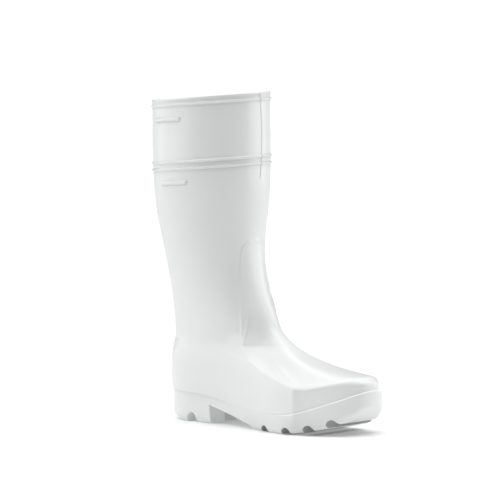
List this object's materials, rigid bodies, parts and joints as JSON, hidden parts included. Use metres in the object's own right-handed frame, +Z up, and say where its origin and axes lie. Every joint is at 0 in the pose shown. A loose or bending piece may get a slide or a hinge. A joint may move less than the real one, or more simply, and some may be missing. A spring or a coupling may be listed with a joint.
{
  "type": "chemical resistant boot",
  "caption": "Knee-high moulded white work boot for the right foot, with a ridged cuff and a cleated sole.",
  "frame": {"origin": "on the floor, below the middle of the boot's box", "axes": "+X towards the toe, +Y towards the medial (big-toe) side, +Z up"},
  "size_m": [0.3198, 0.129, 0.384],
  "materials": {
    "upper": "glossy white moulded rubber",
    "outsole": "white moulded rubber, a little less glossy",
    "insole": "pale felt"
  },
  "bodies": {
    "root": {"upper": "upper", "outsole": "outsole", "insole": "insole"}
  },
  "joints": []
}
